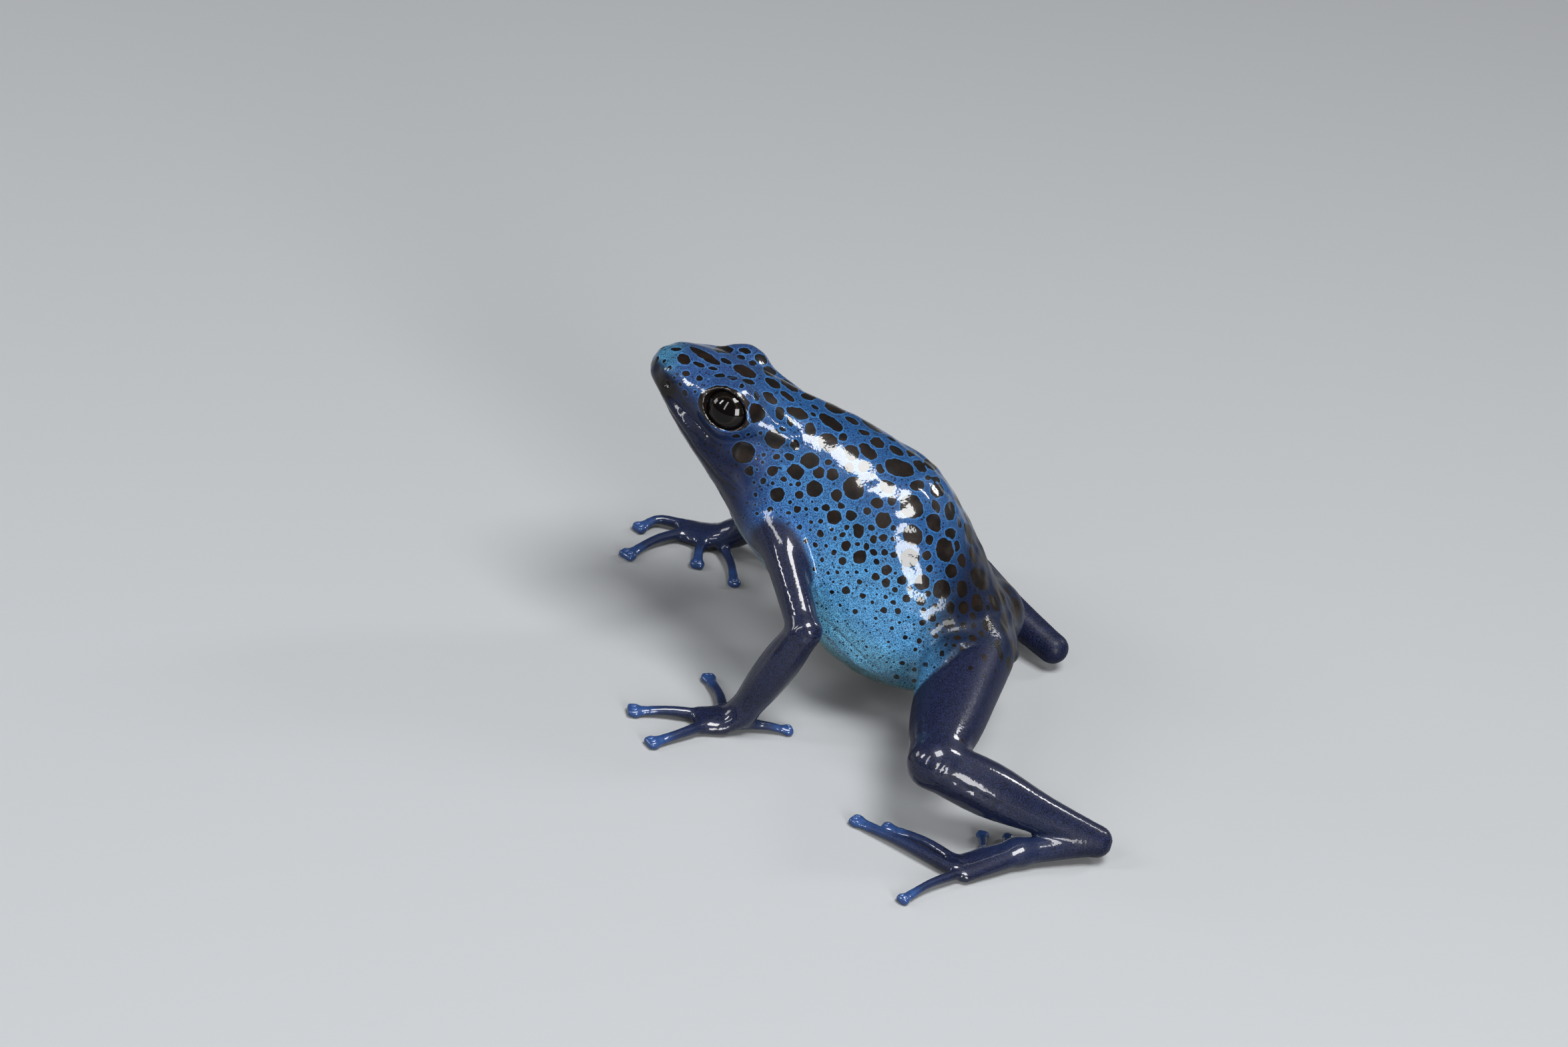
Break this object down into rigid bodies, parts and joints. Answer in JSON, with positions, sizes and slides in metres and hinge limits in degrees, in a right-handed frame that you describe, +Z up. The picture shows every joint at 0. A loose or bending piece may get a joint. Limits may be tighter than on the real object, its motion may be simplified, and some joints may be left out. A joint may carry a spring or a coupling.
{
  "type": "blue poison dart frog",
  "caption": "Life-size still model of a blue poison dart frog, sitting up on its front legs with its head raised, whole from all sides, resting on its hands, feet and discs.",
  "frame": {"origin": "centre of the footprint, on the floor", "axes": "+Z up from the floor, +Y towards the frog's right side, across the spread hands and feet, and -X the way its head points"},
  "size_m": [0.0496, 0.06, 0.0272],
  "materials": {
    "body_skin": "wet gloss",
    "limb_skin": "wet gloss",
    "digit_skin": "wet gloss",
    "eye": "polished gloss"
  },
  "bodies": {
    "root": {"eye_left": "eye", "eye_right": "eye", "finger_1_left": "digit_skin", "finger_1_right": "digit_skin", "finger_2_left": "digit_skin", "finger_2_right": "digit_skin", "finger_3_left": "digit_skin", "finger_3_right": "digit_skin", "finger_4_left": "digit_skin", "finger_4_right": "digit_skin", "foot_left": "limb_skin", "foot_right": "limb_skin", "forearm_left": "limb_skin", "forearm_right": "limb_skin", "hand_left": "limb_skin", "hand_right": "limb_skin", "head": "body_skin", "lower_jaw": "body_skin", "shank_left": "limb_skin", "shank_right": "limb_skin", "tarsus_left": "limb_skin", "tarsus_right": "limb_skin", "thigh_left": "limb_skin", "thigh_right": "limb_skin", "toe_1_left": "digit_skin", "toe_1_right": "digit_skin", "toe_2_left": "digit_skin", "toe_2_right": "digit_skin", "toe_3_left": "digit_skin", "toe_3_right": "digit_skin", "toe_4_left": "digit_skin", "toe_4_right": "digit_skin", "toe_5_left": "digit_skin", "toe_5_right": "digit_skin", "torso": "body_skin", "tympanum_left": "body_skin", "tympanum_right": "body_skin", "upper_arm_left": "limb_skin", "upper_arm_right": "limb_skin"}
  },
  "joints": []
}
